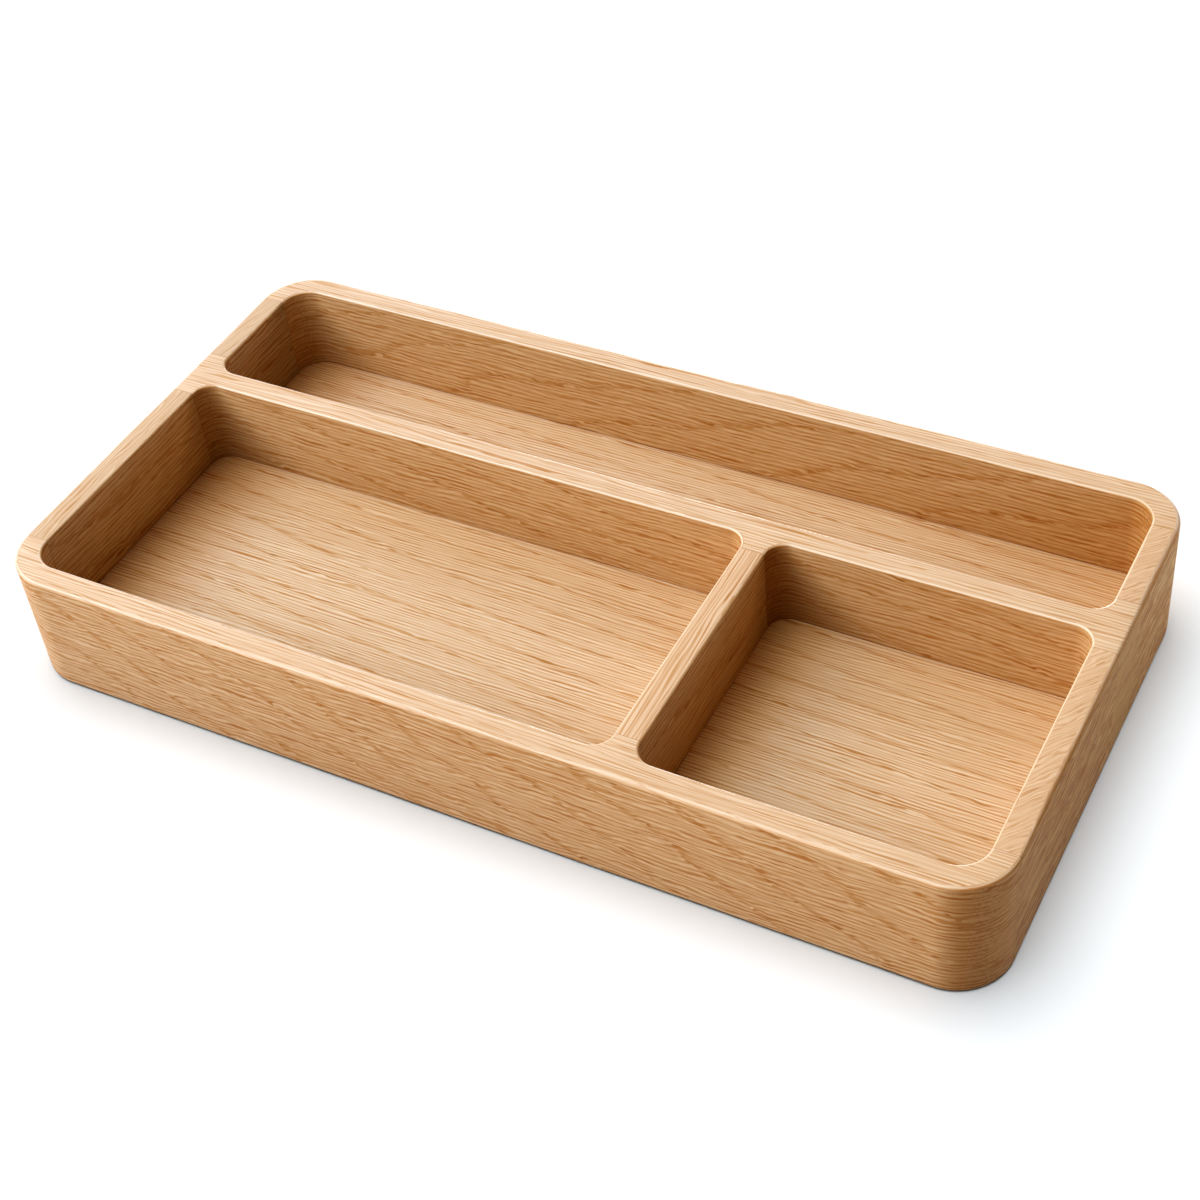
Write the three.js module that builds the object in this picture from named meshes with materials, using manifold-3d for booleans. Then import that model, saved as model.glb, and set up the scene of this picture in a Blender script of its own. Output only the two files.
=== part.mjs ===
// Desk organizer tray in solid oak. Rails are glued up into a frame, three round-cornered pockets are
// milled out of it, every edge is eased, and a base panel is let into a rebate underneath. X runs along
// the tray, Y towards its back and Z up. The origin is on the desk, under the middle of the tray.
import * as THREE from "three";
import { mergeVertices } from "three/addons/utils/BufferGeometryUtils.js";
import Module from "manifold-3d";

const wasm = await Module();
wasm.setup();

// All sizes are in millimetres. Outside of the frame:
const TRAY_LENGTH = 300;
const TRAY_DEPTH = 155;
const FRAME_HEIGHT = 40;
const OUTER_RADIUS = 16;
const RIM_ROUNDOVER = 1.2;
const FOOT_ROUNDOVER = 1;

// Walls and pockets
const RIM_WIDTH = 7.5;
const DIVIDER_WIDTH = 7.5;
const PEN_POCKET_WIDTH = 45.5;
const NOTE_POCKET_LENGTH = 92;
const DIVIDER_FILLET = 6;
const POCKET_ROUNDOVER = 0.7;

// Base panel, and the wood left outside the rebate that it sits in
const PANEL_THICKNESS = 10;
const PANEL_RECESS = 1.5;
const PANEL_GAP = 0.3;
const PANEL_CHAMFER = 0.5;
const REBATE_SKIN = 4;

// Dowels in the butt joints, and how deep they sit in the long rails
const DOWEL_DIAMETER = 3;
const DOWEL_LENGTH = 14;
const DOWEL_CHAMFER = 0.4;
const DOWEL_CLEARANCE = 0.15;
const DOWEL_END_GAP = 0.5;
const RAIL_BITE = 7;
const CORNER_BITE = 4;

// Felt pads
const PAD_DIAMETER = 12;
const PAD_PROUD = 0.5;
const PAD_EDGE_ROUND = 0.4;
const PAD_INSET = 12;

// Facets on a quarter circle and on round pieces, and how far a cutter runs past what it cuts
const CORNER_STEPS = 10;
const ROUNDOVER_STEPS = 4;
const DOWEL_SIDES = 16;
const PAD_SIDES = 32;
const OVERRUN = 2;

// Levels, from the desk upwards
const frameBottom = PAD_PROUD;
const frameTop = frameBottom + FRAME_HEIGHT;
const panelBottom = frameBottom + PANEL_RECESS;
const panelTop = panelBottom + PANEL_THICKNESS;

// Plan, from the outer faces inwards
const outside = {
  x0: -TRAY_LENGTH / 2,
  x1: TRAY_LENGTH / 2,
  y0: -TRAY_DEPTH / 2,
  y1: TRAY_DEPTH / 2,
};
const inside = inset(outside, RIM_WIDTH);
const centreRear = inside.y1 - PEN_POCKET_WIDTH;
const centreFront = centreRear - DIVIDER_WIDTH;
const crossRight = inside.x1 - NOTE_POCKET_LENGTH;
const crossLeft = crossRight - DIVIDER_WIDTH;

// Glue joints lie where the rounds run out into the straight walls
const frontJoint = outside.y0 + OUTER_RADIUS;
const rearJoint = outside.y1 - OUTER_RADIUS;
const centreFrontJoint = centreFront - DIVIDER_FILLET;
const centreRearJoint = centreRear + DIVIDER_FILLET;
const crossFrontJoint = inside.y0 + DIVIDER_FILLET;

const OAK = { color: 0xd2a26a, roughness: 0.62, metalness: 0 };
const BEECH = { color: 0xd8b98c, roughness: 0.7, metalness: 0 };
const FELT = { color: 0x6f6458, roughness: 0.95, metalness: 0 };

/** A plan rectangle drawn in by `by` on all four sides. */
function inset(box, by) {
  return { x0: box.x0 + by, x1: box.x1 - by, y0: box.y0 + by, y1: box.y1 - by };
}

/**
 * The outline of a round-cornered rectangle, grown by `grow` all round, anticlockwise from its front left
 * corner. `radii` are its corner radii in that order. They grow with it, so its outlines run parallel.
 */
function roundedOutline(box, radii, grow) {
  const centres = [
    [box.x0 + radii[0], box.y0 + radii[0]],
    [box.x1 - radii[1], box.y0 + radii[1]],
    [box.x1 - radii[2], box.y1 - radii[2]],
    [box.x0 + radii[3], box.y1 - radii[3]],
  ];
  return centres.flatMap(([x, y], corner) => {
    const r = radii[corner] + grow;
    const start = Math.PI + (corner * Math.PI) / 2;
    return new THREE.EllipseCurve(x, y, r, r, start, start + Math.PI / 2).getPoints(CORNER_STEPS);
  });
}

/** A closed geometry through outlines of equally many points, each { outline, z }, lowest first. */
function stackedGeometry(levels) {
  const count = levels[0].outline.length;
  const last = (levels.length - 1) * count;
  const positions = levels.flatMap(({ outline, z }) => outline.flatMap((p) => [p.x, p.y, z]));
  const index = [];
  for (let ring = 0; ring < last; ring += count) {
    for (let i = 0; i < count; i++) {
      const a = ring + i;
      const b = ring + ((i + 1) % count);
      index.push(a, b, b + count, a, b + count, a + count);
    }
  }
  for (const [a, b, c] of THREE.ShapeUtils.triangulateShape(levels[0].outline, [])) {
    index.push(c, b, a);
  }
  for (const [a, b, c] of THREE.ShapeUtils.triangulateShape(levels.at(-1).outline, [])) {
    index.push(last + a, last + b, last + c);
  }
  const geometry = new THREE.BufferGeometry();
  geometry.setAttribute("position", new THREE.Float32BufferAttribute(positions, 3));
  geometry.setIndex(index);
  return geometry;
}

/** The steps of a quarter round, as [distance from the face, distance from the edge's level]. */
function quarterRound(r) {
  return Array.from({ length: ROUNDOVER_STEPS + 1 }, (_, step) => {
    const angle = (step / ROUNDOVER_STEPS) * (Math.PI / 2);
    return [r * (1 - Math.cos(angle)), r * (1 - Math.sin(angle))];
  });
}

/** A solid for cutting and joining, from any closed geometry. */
function solid(geometry) {
  const bare = geometry.clone();
  bare.deleteAttribute("normal");
  bare.deleteAttribute("uv");
  const merged = mergeVertices(bare);
  return new wasm.Manifold(
    new wasm.Mesh({
      numProp: 3,
      vertProperties: new Float32Array(merged.attributes.position.array),
      triVerts: new Uint32Array(merged.index.array),
    }),
  );
}

/** The geometry of a cut or joined solid. */
function geometryOf(manifold) {
  const mesh = manifold.getMesh();
  const geometry = new THREE.BufferGeometry();
  geometry.setAttribute("position", new THREE.BufferAttribute(mesh.vertProperties, 3));
  geometry.setIndex(new THREE.BufferAttribute(mesh.triVerts, 1));
  geometry.computeVertexNormals();
  return geometry;
}

function piece(name, geometry, finish) {
  const mesh = new THREE.Mesh(geometry, new THREE.MeshStandardMaterial(finish));
  mesh.name = name;
  return mesh;
}

/** The glued-up blank: a round-cornered slab, eased round its foot and round its rim. */
function frameBlank() {
  const radii = Array(4).fill(OUTER_RADIUS);
  const ring = (drawnIn, z) => ({ outline: roundedOutline(outside, radii, -drawnIn), z });
  const foot = quarterRound(FOOT_ROUNDOVER).map(([drawnIn, off]) => ring(drawnIn, frameBottom + off));
  const rim = quarterRound(RIM_ROUNDOVER).map(([drawnIn, off]) => ring(drawnIn, frameTop - off));
  return solid(stackedGeometry([...foot.reverse(), ...rim]));
}

/** The milling of one pocket: straight walls down past the panel, opening out over the eased edge. */
function pocketCutter(box, radii) {
  const ring = (grow, z) => ({ outline: roundedOutline(box, radii, grow), z });
  const foot = ring(0, frameBottom - OVERRUN);
  const edge = quarterRound(POCKET_ROUNDOVER).map(([grow, off]) => ring(grow, frameTop - off));
  const mouth = ring(POCKET_ROUNDOVER, frameTop + OVERRUN);
  return solid(stackedGeometry([foot, ...edge, mouth]));
}

/** The milling of the rebate that takes the base panel, open downwards. */
function rebateCutter() {
  const radii = Array(4).fill(OUTER_RADIUS - REBATE_SKIN);
  const outline = roundedOutline(inset(outside, REBATE_SKIN), radii, 0);
  return solid(stackedGeometry([{ outline, z: frameBottom - OVERRUN }, { outline, z: panelTop }]));
}

/** A plan region over the full height, which parts one rail from the frame. */
function region(x0, x1, y0, y1) {
  const height = FRAME_HEIGHT + 2 * OVERRUN;
  const box = new THREE.BoxGeometry(x1 - x0, y1 - y0, height);
  box.translate((x0 + x1) / 2, (y0 + y1) / 2, frameBottom - OVERRUN + height / 2);
  return solid(box);
}

/** The frame with its three pockets and its rebate, not yet parted into rails. */
function milledFrame() {
  const corner = OUTER_RADIUS - RIM_WIDTH;
  const fillet = DIVIDER_FILLET;
  const phonePocket = { ...inside, x1: crossLeft, y1: centreFront };
  const notePocket = { ...inside, x0: crossRight, y1: centreFront };
  const penPocket = { ...inside, y0: centreRear };
  return frameBlank()
    .subtract(pocketCutter(phonePocket, [corner, fillet, fillet, fillet]))
    .subtract(pocketCutter(notePocket, [fillet, corner, fillet, fillet]))
    .subtract(pocketCutter(penPocket, [fillet, fillet, corner, corner]))
    .subtract(rebateCutter());
}

/** Each rail is what the frame holds inside that rail's region. */
function partedRails() {
  const frame = milledFrame();
  const past = inset(outside, -OVERRUN);
  const leftWall = [past.x0, inside.x0 + OVERRUN];
  const rightWall = [inside.x1 - OVERRUN, past.x1];
  const frontRun = [frontJoint, centreFrontJoint];
  const rearRun = [centreRearJoint, rearJoint];
  const crossSpan = [crossLeft - DIVIDER_FILLET, crossRight + DIVIDER_FILLET];
  const cross = region(...crossSpan, crossFrontJoint, centreFrontJoint);
  const crossFoot = region(...crossSpan, past.y0, crossFrontJoint);
  const regions = {
    front_rail: region(past.x0, past.x1, past.y0, frontJoint).add(crossFoot).subtract(cross),
    rear_rail: region(past.x0, past.x1, rearJoint, past.y1),
    centre_rail: region(past.x0, past.x1, centreFrontJoint, centreRearJoint),
    cross_divider: cross,
    left_front_side_rail: region(...leftWall, ...frontRun),
    left_rear_side_rail: region(...leftWall, ...rearRun),
    right_front_side_rail: region(...rightWall, ...frontRun),
    right_rear_side_rail: region(...rightWall, ...rearRun),
  };
  const parted = Object.entries(regions).map(([name, space]) => [name, frame.intersect(space)]);
  return Object.fromEntries(parted);
}

/**
 * The ten butt joints of the frame. In each, an arm butts against a long rail, which lies behind the arm
 * (towards 1) or in front of it (towards -1) and takes its dowels to the depth of `bite`.
 */
function buttJoints() {
  const crossX = (crossLeft + crossRight) / 2;
  const rail = (name, y, towards, bite) => ({ rail: name, y, towards, bite });
  const atFrontRail = rail("front_rail", frontJoint, -1, CORNER_BITE);
  const atRearRail = rail("rear_rail", rearJoint, 1, CORNER_BITE);
  const beforeCentre = rail("centre_rail", centreFrontJoint, 1, RAIL_BITE);
  const behindCentre = rail("centre_rail", centreRearJoint, -1, RAIL_BITE);
  const crossFoot = rail("front_rail", crossFrontJoint, -1, RAIL_BITE);
  const joints = [
    { name: "cross_front", arm: "cross_divider", x: crossX, ...crossFoot },
    { name: "cross_rear", arm: "cross_divider", x: crossX, ...beforeCentre },
  ];
  const walls = { left: outside.x0 + RIM_WIDTH / 2, right: outside.x1 - RIM_WIDTH / 2 };
  for (const [side, x] of Object.entries(walls)) {
    const front = `${side}_front_side_rail`;
    const rear = `${side}_rear_side_rail`;
    joints.push({ name: `${side}_front_corner`, arm: front, x, ...atFrontRail });
    joints.push({ name: `${side}_centre_front`, arm: front, x, ...beforeCentre });
    joints.push({ name: `${side}_centre_rear`, arm: rear, x, ...behindCentre });
    joints.push({ name: `${side}_rear_corner`, arm: rear, x, ...atRearRail });
  }
  return joints;
}

/** A dowel along Y with chamfered ends, centred on the origin. */
function dowelGeometry() {
  const r = DOWEL_DIAMETER / 2;
  const end = DOWEL_LENGTH / 2;
  const profile = [
    [0, -end],
    [r - DOWEL_CHAMFER, -end],
    [r, DOWEL_CHAMFER - end],
    [r, end - DOWEL_CHAMFER],
    [r - DOWEL_CHAMFER, end],
    [0, end],
  ];
  const points = profile.map(([x, y]) => new THREE.Vector2(x, y));
  return new THREE.LatheGeometry(points, DOWEL_SIDES);
}

/** Bores both pieces of every joint at the quarter points of the wall, and gives the dowels for them. */
function dowelledJoints(rails) {
  const boreRadius = DOWEL_DIAMETER / 2 + DOWEL_CLEARANCE;
  const boreLength = DOWEL_LENGTH + 2 * DOWEL_END_GAP;
  const quarter = (frameTop - panelTop) / 4;
  const heights = { lower: panelTop + quarter, upper: frameTop - quarter };
  const dowels = [];
  for (const { name, arm, rail, x, y, towards, bite } of buttJoints()) {
    const middle = y + towards * (bite - DOWEL_LENGTH / 2);
    for (const [level, z] of Object.entries(heights)) {
      const bore = new THREE.CylinderGeometry(boreRadius, boreRadius, boreLength, DOWEL_SIDES);
      const cutter = solid(bore.translate(x, middle, z));
      rails[arm] = rails[arm].subtract(cutter);
      rails[rail] = rails[rail].subtract(cutter);
      const dowel = piece(`dowel_${name}_${level}`, dowelGeometry(), BEECH);
      dowel.position.set(x, middle, z);
      dowels.push(dowel);
    }
  }
  return dowels;
}

/** The base panel, with its lower edge chamfered so that it slips into the rebate. */
function basePanel() {
  const plan = inset(outside, REBATE_SKIN + PANEL_GAP);
  const radii = Array(4).fill(OUTER_RADIUS - REBATE_SKIN - PANEL_GAP);
  const ring = (drawnIn, z) => ({ outline: roundedOutline(plan, radii, -drawnIn), z });
  const levels = [
    ring(PANEL_CHAMFER, panelBottom),
    ring(0, panelBottom + PANEL_CHAMFER),
    ring(0, panelTop),
  ];
  return piece("base_panel", stackedGeometry(levels), OAK);
}

/** Four round felt pads in the corners of the panel's underside. They alone touch the desk. */
function feltPads() {
  const r = PAD_DIAMETER / 2;
  const edge = quarterRound(PAD_EDGE_ROUND).map(([drawnIn, off]) => new THREE.Vector2(r - drawnIn, off));
  const profile = [
    new THREE.Vector2(0, 0),
    ...edge.reverse(),
    new THREE.Vector2(r, panelBottom),
    new THREE.Vector2(0, panelBottom),
  ];
  const centres = inset(outside, REBATE_SKIN + PANEL_GAP + PAD_INSET + r);
  const places = {
    front_left: [centres.x0, centres.y0],
    front_right: [centres.x1, centres.y0],
    rear_left: [centres.x0, centres.y1],
    rear_right: [centres.x1, centres.y1],
  };
  return Object.entries(places).map(([place, [x, y]]) => {
    const pad = piece(`felt_pad_${place}`, new THREE.LatheGeometry(profile, PAD_SIDES), FELT);
    pad.rotation.x = Math.PI / 2;
    pad.position.set(x, y, 0);
    return pad;
  });
}

const rails = partedRails();
const dowels = dowelledJoints(rails);
const frame = new THREE.Group();
for (const [name, rail] of Object.entries(rails)) {
  frame.add(piece(name, geometryOf(rail), OAK));
}
frame.add(...dowels);

const tray = new THREE.Group();
tray.add(frame, basePanel(), ...feltPads());

export default tray;
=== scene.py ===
"""Oak desk tray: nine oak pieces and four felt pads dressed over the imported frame, in metres."""

import math
from typing import NamedTuple

import bmesh
import bpy
import numpy as np
from mathutils import Matrix, Vector


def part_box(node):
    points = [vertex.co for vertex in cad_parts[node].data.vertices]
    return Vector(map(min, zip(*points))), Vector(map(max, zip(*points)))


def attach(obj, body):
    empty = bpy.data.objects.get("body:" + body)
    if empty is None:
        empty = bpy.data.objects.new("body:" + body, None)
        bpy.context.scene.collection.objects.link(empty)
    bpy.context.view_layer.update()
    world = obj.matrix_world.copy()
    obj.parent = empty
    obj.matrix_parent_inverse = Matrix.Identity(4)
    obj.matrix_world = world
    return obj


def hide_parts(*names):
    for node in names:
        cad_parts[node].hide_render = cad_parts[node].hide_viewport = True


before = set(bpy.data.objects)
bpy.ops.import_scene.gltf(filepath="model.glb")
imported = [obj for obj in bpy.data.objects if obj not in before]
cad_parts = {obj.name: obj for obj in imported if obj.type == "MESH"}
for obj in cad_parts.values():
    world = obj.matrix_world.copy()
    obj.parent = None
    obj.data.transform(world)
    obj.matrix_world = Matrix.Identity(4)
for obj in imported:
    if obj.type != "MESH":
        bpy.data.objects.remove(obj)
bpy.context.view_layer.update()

MM = 0.001
X_AXIS, Y_AXIS = 0, 1

# Sizes and places read from the frame.
front_low, front_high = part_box("front_rail")
rear_low, rear_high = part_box("rear_rail")
centre_low, centre_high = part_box("centre_rail")
cross_low, cross_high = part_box("cross_divider")
side_low, side_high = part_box("left_front_side_rail")
panel_low, panel_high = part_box("base_panel")

LEFT, RIGHT = front_low.x, front_high.x
FRONT, BACK = front_low.y, rear_high.y
FOOT, RIM_TOP = front_low.z, front_high.z
FLOOR = panel_high.z
FRONT_JOINT, REAR_JOINT = front_high.y, rear_low.y
CENTRE_FRONT_JOINT, CENTRE_REAR_JOINT = centre_low.y, centre_high.y
CROSS_LEFT, CROSS_RIGHT = cross_low.x, cross_high.x
CROSS_JOINT = cross_low.y
CORNER_RADIUS = FRONT_JOINT - FRONT
RIM_WIDTH = side_high.x - side_low.x
FILLET = CROSS_JOINT - FRONT - RIM_WIDTH
CENTRE_FRONT_FACE = CENTRE_FRONT_JOINT + FILLET
CENTRE_REAR_FACE = CENTRE_REAR_JOINT - FILLET
BEFORE_CROSS, AFTER_CROSS = CROSS_LEFT - FILLET, CROSS_RIGHT + FILLET
LEFT_FACE, RIGHT_FACE = LEFT + RIM_WIDTH, RIGHT - RIM_WIDTH
REAR_FACE = BACK - RIM_WIDTH
FRONT_SPAN = (FRONT_JOINT, CENTRE_FRONT_JOINT)
REAR_SPAN = (CENTRE_REAR_JOINT, REAR_JOINT)

# Sizes that the frame's boxes don't give.
PANEL_GAP = 0.3 * MM
PANEL_CHAMFER = 0.5 * MM
REBATE_SKIN = panel_low.x - PANEL_GAP - LEFT
RIM_EASE = 1.2 * MM
POCKET_EASE = 0.7 * MM
FOOT_EASE = 1.0 * MM
WALL_CREVICE = 0.18 * MM
CREVICE_HEIGHT = 0.9 * MM
PAD_EDGE = 0.4 * MM

# Hand sanding of the eased edges: its strength, and sines of a share, two lengths in mm and a phase.
EASE_WANDER = 0.22
WANDER_SINES = ((0.5, 23, 31, 0), (0.3, 9.1, -13, 1.3), (0.2, 4.3, 5.7, 4.1))

# How finely the surfaces are drawn.
CORNER_STEPS = 40
FILLET_STEPS = 20
EASE_STEPS = 8
TOP_STRIP = EASE_STEPS + 3
RUN_STEP = 2.5 * MM
PAD_STEPS = 72
MERGE_DISTANCE = 1e-7
SHARP_ANGLE = math.radians(32)

# Marks on the surfaces for the oak: depth in a pocket for its painted shade, gloss and painted
# highlight of the edges, slant of a top.
WALL_HEAD_SHADE = 0.45
CREVICE_SHADE = 1.6
RIM_GLOSS_AND_HIGHLIGHT = 0.5
GLOSS_AND_HIGHLIGHT_FOCUS = 2.5
TOP_SLANT = 1.05


class Stations(NamedTuple):
    """Pairs of plan points along a rail: its near and far edge, and the way into the wood from each."""

    near: np.ndarray
    near_in: np.ndarray
    far: np.ndarray
    far_in: np.ndarray


class Section(NamedTuple):
    """A rail's cross section, one entry for each point round it.

    far: whether the point hangs on the far edge. inset, height: its place before easing.
    curl_in, curl_down: how far a full easing moves it. foot: whether it follows the rail's foot.
    eased: how far round the easing it lies, 1 in the middle. pocket: 1 at the foot of a pocket's
    wall, less above, more in its crevice.
    """

    far: np.ndarray
    inset: np.ndarray
    height: np.ndarray
    curl_in: np.ndarray
    curl_down: np.ndarray
    foot: np.ndarray
    eased: np.ndarray
    pocket: np.ndarray


class GlueLine(NamedTuple):
    """Where a glue joint shows on a board: its y, and the x from and to which it runs."""

    y: float
    start: float = LEFT
    end: float = RIGHT


class Shade(NamedTuple):
    """Where a wall's shadow is painted on the board that it meets.

    axis: the axis it stands across. wall: its place there. start, end: from and to where it runs on
    the other axis. reach: how far its shade goes, less than 0 towards smaller places. tint: the
    colour right beside it.
    """

    axis: int
    wall: float
    start: float
    end: float
    reach: float
    tint: tuple


class Board(NamedTuple):
    """How one oak board lay in its log, and what it shows. Pairs are for upright faces and its top.

    growth: growth rings met per mm along, across and up the board. shift: its place in the log in mm.
    top_tint: the colour of its top against plain oak. along: the axis its fibres follow. wave: how
    far its fibres sway in mm. drawn: what a length along its fibres counts for. layers: thin layers
    met per mm along, across and up the board. lively: how strongly its figure shows. lean: degrees by
    which the strokes on its top lean away from the rail.
    """

    growth: tuple
    shift: tuple
    top_tint: tuple
    along: int = X_AXIS
    wave: tuple = (1.4, 3)
    drawn: tuple = (0.9, 0.3)
    layers: tuple = (0.0, 0.83, 0.67)
    lively: tuple = (1.45, 0.92)
    lean: float = 0.0
    joints: tuple = ()
    shades: tuple = ()


class Lofted(NamedTuple):
    """A grid of points, ring by ring, the same grid's places in the log for walls, top and end
    faces, how far each point is eased and how deep it lies in a pocket."""

    points: np.ndarray
    walls: np.ndarray
    top: np.ndarray
    ends: np.ndarray
    eased: np.ndarray
    pocket: np.ndarray


class RailEnds(NamedTuple):
    """How a rail that shows its ends is shaped: its top, its foot, and its edges' gloss and painted
    highlight at each station.
    """

    top: np.ndarray
    foot: np.ndarray
    gloss_and_highlight: np.ndarray


def ease_wander(plan):
    """How much fuller or flatter sanding left the easing at a plan point: 1 plus crossing sines."""
    x, y = plan[..., 0] / MM, plan[..., 1] / MM
    sines = sum(share * np.sin(x / along + y / across + phase)
                for share, along, across, phase in WANDER_SINES)
    return 1 + EASE_WANDER * sines


def join(*parts):
    """One run of stations after the other."""
    return Stations(*(np.concatenate(columns) for columns in zip(*parts)))


def arc(centre, start, end, steps):
    """Unit directions from start to end in degrees, and a function for the points at a radius."""
    angle = np.radians(np.linspace(start, end, steps + 1))
    direction = np.stack([np.cos(angle), np.sin(angle)], -1)
    return direction, lambda radius: np.array(centre) + radius * direction


def quarter_turn():
    """Angles from 0 to a right angle at the steps of an easing."""
    return np.linspace(0, math.pi / 2, EASE_STEPS + 1)


def facing(direction, count):
    """The same direction for a number of stations."""
    return np.tile(np.array(direction, float), (count, 1))


def rim_corner(centre, start, end):
    """A quarter turn of the rim: outer and inner edge are circles round one centre."""
    direction, at = arc(centre, start, end, CORNER_STEPS)
    return Stations(at(CORNER_RADIUS), -direction, at(CORNER_RADIUS - RIM_WIDTH), direction)


def straight_run(start, end, across):
    """A straight wall along one axis: its near edge from start to end, its far edge moved across."""
    steps = max(1, round(abs(np.sum(np.subtract(end, start))) / RUN_STEP))
    share = np.linspace(0, 1, steps + 1)[:, None]
    near = np.array(start) * (1 - share) + np.array(end) * share
    inward = np.sign(across)
    return Stations(near, facing(inward, steps + 1),
                    near + np.array(across), facing(-inward, steps + 1))


def divider_foot(centre_x, start, end):
    """The front rail's inner edge turning into the cross divider round a fillet."""
    direction, at = arc((centre_x, CROSS_JOINT), start, end, FILLET_STEPS)
    far = at(FILLET)
    near = np.stack([far[:, 0], np.full(len(far), FRONT)], -1)
    return Stations(near, facing((0, 1), len(far)), far, direction)


def front_rail_stations():
    """From the left corner's joint along the front, past the divider's foot, to the right one."""
    left_centre = (LEFT + CORNER_RADIUS, FRONT_JOINT)
    right_centre = (RIGHT - CORNER_RADIUS, FRONT_JOINT)
    return join(
        rim_corner(left_centre, 180, 270),
        straight_run((left_centre[0], FRONT), (BEFORE_CROSS, FRONT), (0, RIM_WIDTH)),
        divider_foot(BEFORE_CROSS, -90, 0),
        divider_foot(AFTER_CROSS, 180, 270),
        straight_run((AFTER_CROSS, FRONT), (right_centre[0], FRONT), (0, RIM_WIDTH)),
        rim_corner(right_centre, 270, 360),
    )


def rear_rail_stations():
    """From the right corner joint round the corner, along the back, to the left joint."""
    left_centre = (LEFT + CORNER_RADIUS, REAR_JOINT)
    right_centre = (RIGHT - CORNER_RADIUS, REAR_JOINT)
    return join(
        rim_corner(right_centre, 0, 90),
        straight_run((right_centre[0], BACK), (left_centre[0], BACK), (0, -RIM_WIDTH)),
        rim_corner(left_centre, 90, 180),
    )


def centre_end(x):
    """Stations at the given x in a side wall, where the centre rail is as wide as its joints."""
    near = np.stack([x, np.full(len(x), CENTRE_FRONT_JOINT)], -1)
    far = np.stack([x, np.full(len(x), CENTRE_REAR_JOINT)], -1)
    still = facing((0, 0), len(x))
    return Stations(near, still, far, still)


def centre_fillet(centre_x, start, end, both):
    """The centre rail's front edge turning round a fillet, and its rear edge too if both is set."""
    direction, at = arc((centre_x, CENTRE_FRONT_JOINT), start, end, FILLET_STEPS)
    near = at(FILLET)
    mirrored = direction * np.array([1, -1])
    if both:
        far = np.array([centre_x, CENTRE_REAR_JOINT]) + FILLET * mirrored
        return Stations(near, direction, far, mirrored)
    far = np.stack([near[:, 0], np.full(len(near), CENTRE_REAR_FACE)], -1)
    return Stations(near, direction, far, facing((0, -1), len(near)))


def centre_rail_stations():
    """From the left outer face through the side wall, past the divider's head, to the right one."""
    eased_end = RIM_EASE * (1 - np.cos(quarter_turn()))
    from_face = np.concatenate([eased_end, [REBATE_SKIN, REBATE_SKIN]])
    left_centre = LEFT_FACE + FILLET
    right_centre = RIGHT_FACE - FILLET
    face, across = CENTRE_FRONT_FACE, (0, CENTRE_REAR_FACE - CENTRE_FRONT_FACE)
    return join(
        centre_end(LEFT + from_face),
        centre_fillet(left_centre, 180, 90, True),
        straight_run((left_centre, face), (BEFORE_CROSS, face), across),
        centre_fillet(BEFORE_CROSS, 90, 0, False),
        centre_fillet(AFTER_CROSS, 180, 90, False),
        straight_run((AFTER_CROSS, face), (right_centre, face), across),
        centre_fillet(right_centre, 90, 0, True),
        centre_end(RIGHT - from_face[::-1]),
    )


def wall_rows(far, ease):
    """One side of a wall from the floor up, in the order of Section: a fine crevice, the plain face,
    then a quarter round of radius ease."""
    angle = quarter_turn()
    none = np.zeros_like(angle)
    rows = np.stack([
        np.full_like(angle, far), none, np.full_like(angle, RIM_TOP),
        ease * (1 - np.cos(angle)), ease * (1 - np.sin(angle)), none,
        np.sin(2 * angle) ** GLOSS_AND_HIGHLIGHT_FOCUS, WALL_HEAD_SHADE * np.cos(angle),
    ], -1)
    crevice = np.array([
        [far, WALL_CREVICE, FLOOR, 0, 0, 1, 0, CREVICE_SHADE],
        [far, 0, FLOOR + WALL_CREVICE, 0, 0, 1, 0, CREVICE_SHADE],
        [far, 0, FLOOR + CREVICE_HEIGHT, 0, 0, 1, 0, 1],
    ])
    return np.concatenate([crevice, rows])


def rail_section():
    """Up the pocket wall, over the rim, down the outer face, round the foot and up the rebate."""
    inner = wall_rows(1, POCKET_EASE)
    outer = wall_rows(0, RIM_EASE)[:2:-1] * np.array([1, 1, 1, 1, 1, 1, RIM_GLOSS_AND_HIGHLIGHT, 0])
    angle = quarter_turn()
    none = np.zeros_like(angle)
    foot = np.stack([
        none, none, np.full_like(angle, FOOT),
        FOOT_EASE * (1 - np.cos(angle)), -FOOT_EASE * (1 - np.sin(angle)), none,
        RIM_GLOSS_AND_HIGHLIGHT * np.sin(2 * angle), none,
    ], -1)
    rebate = np.array([
        [0, REBATE_SKIN, FOOT, 0, 0, 0, 0, 0],
        [0, REBATE_SKIN, FLOOR, 0, 0, 0, 0, 0],
    ])
    return Section(*np.concatenate([inner, outer, foot, rebate]).T)


def divider_section():
    """Up one pocket wall, over the rim and down the other."""
    near = wall_rows(0, POCKET_EASE)
    far = wall_rows(1, POCKET_EASE)
    return Section(*np.concatenate([near, far[::-1]]).T)


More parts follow.
